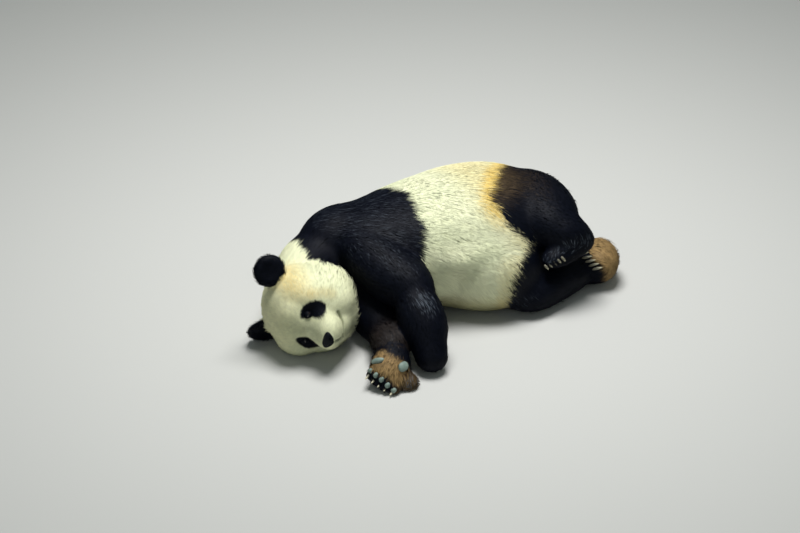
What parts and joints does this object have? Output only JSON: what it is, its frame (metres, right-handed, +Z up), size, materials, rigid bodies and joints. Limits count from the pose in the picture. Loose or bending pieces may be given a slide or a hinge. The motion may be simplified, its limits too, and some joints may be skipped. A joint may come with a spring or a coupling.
{
  "type": "giant panda",
  "caption": "Still, life-size giant panda asleep on its right side, head turned forward, one forepaw with its palm up and both hind legs folded.",
  "frame": {"origin": "on the floor, under the middle of the trunk", "axes": "+Z up; -X towards the head and +X towards the rump; -Y towards the belly and +Y towards the back, so the animal's left side is up"},
  "size_m": [1.3009, 0.8152, 0.3964],
  "materials": {
    "cream_fur": "cream-white guard hair, soft sheen, yellower over the rump",
    "black_fur": "black guard hair with brown tips, brown over the palm and sole",
    "eye": "dark brown wet gloss",
    "nose_leather": "black moist leather, fine pebbling",
    "claw_horn": "pale translucent horn, darker at the base",
    "paw_pad": "grey leathery skin"
  },
  "bodies": {
    "root": {"trunk": "cream_fur", "head": "cream_fur", "neck": "cream_fur", "tail": "cream_fur", "ear_left": "black_fur", "ear_right": "black_fur", "upper_arm_left": "black_fur", "upper_arm_right": "black_fur", "forearm_left": "black_fur", "forearm_right": "black_fur", "forepaw_left": "black_fur", "forepaw_right": "black_fur", "thigh_left": "black_fur", "thigh_right": "black_fur", "shank_left": "black_fur", "shank_right": "black_fur", "hindpaw_left": "black_fur", "hindpaw_right": "black_fur", "eye_left": "eye", "eye_right": "eye", "nose": "nose_leather", "claw_forepaw_left_1": "claw_horn", "claw_forepaw_left_2": "claw_horn", "claw_forepaw_left_3": "claw_horn", "claw_forepaw_left_4": "claw_horn", "claw_forepaw_left_5": "claw_horn", "claw_forepaw_right_1": "claw_horn", "claw_forepaw_right_2": "claw_horn", "claw_forepaw_right_3": "claw_horn", "claw_forepaw_right_4": "claw_horn", "claw_forepaw_right_5": "claw_horn", "claw_hindpaw_left_1": "claw_horn", "claw_hindpaw_left_2": "claw_horn", "claw_hindpaw_left_3": "claw_horn", "claw_hindpaw_left_4": "claw_horn", "claw_hindpaw_left_5": "claw_horn", "claw_hindpaw_right_1": "claw_horn", "claw_hindpaw_right_2": "claw_horn", "claw_hindpaw_right_3": "claw_horn", "claw_hindpaw_right_4": "claw_horn", "claw_hindpaw_right_5": "claw_horn"}
  },
  "joints": []
}
